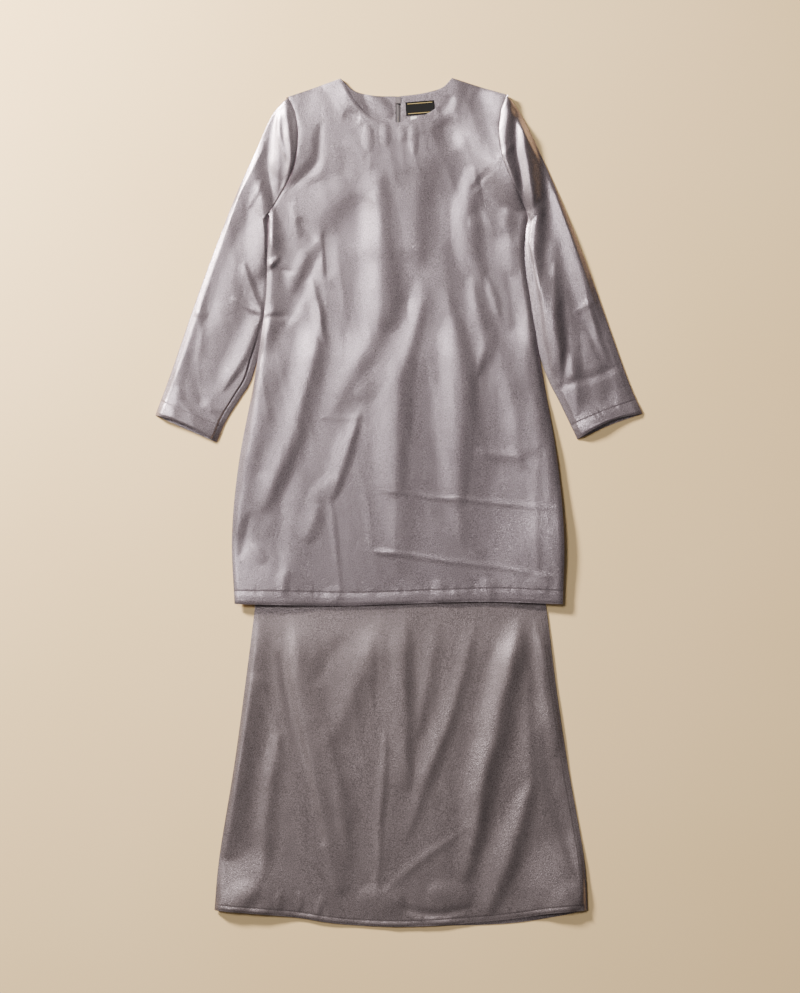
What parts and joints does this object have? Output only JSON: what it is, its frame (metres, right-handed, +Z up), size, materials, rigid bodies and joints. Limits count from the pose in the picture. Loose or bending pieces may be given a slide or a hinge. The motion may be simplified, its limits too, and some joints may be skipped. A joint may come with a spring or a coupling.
{
  "type": "baju kurung",
  "caption": "Baju kurung laid flat, face up: long-sleeved satin tunic with a back neck zip, lying over the top of its long A-line skirt.",
  "frame": {"origin": "middle of the outline on the floor that the clothes lie on", "axes": "+X to the viewer's right, +Y from the skirt's hem to the neck, +Z up out of the tunic's front"},
  "size_m": [0.863, 1.5012, 0.0144],
  "materials": {
    "tunic_satin": "mauve-grey satin",
    "skirt_satin": "mauve-brown satin",
    "zip_tape": "woven tape with a nylon coil",
    "zip_metal": "satin",
    "label": "black woven label, bare",
    "size_tab": "white woven tab, bare"
  },
  "bodies": {
    "garment": {"tunic_front": "tunic_satin", "tunic_back_left": "tunic_satin", "tunic_back_right": "tunic_satin", "sleeve_left": "tunic_satin", "sleeve_right": "tunic_satin", "back_facing_left": "tunic_satin", "back_facing_right": "tunic_satin", "zip_tape_left": "zip_tape", "zip_tape_right": "zip_tape", "zip_slider": "zip_metal", "label": "label", "size_tab": "size_tab", "skirt_front": "skirt_satin", "skirt_back": "skirt_satin", "skirt_waistband": "skirt_satin"},
    "pull_tab": {"zip_pull_tab": "zip_metal"}
  },
  "joints": [
    {"name": "pull_tab_hinge", "type": "hinge", "parent": "garment", "child": "pull_tab", "pos_m": [-0.0015, 0.71162, 0.00165], "axis": [1, 0, 0], "range_deg": [0, 170]}
  ]
}
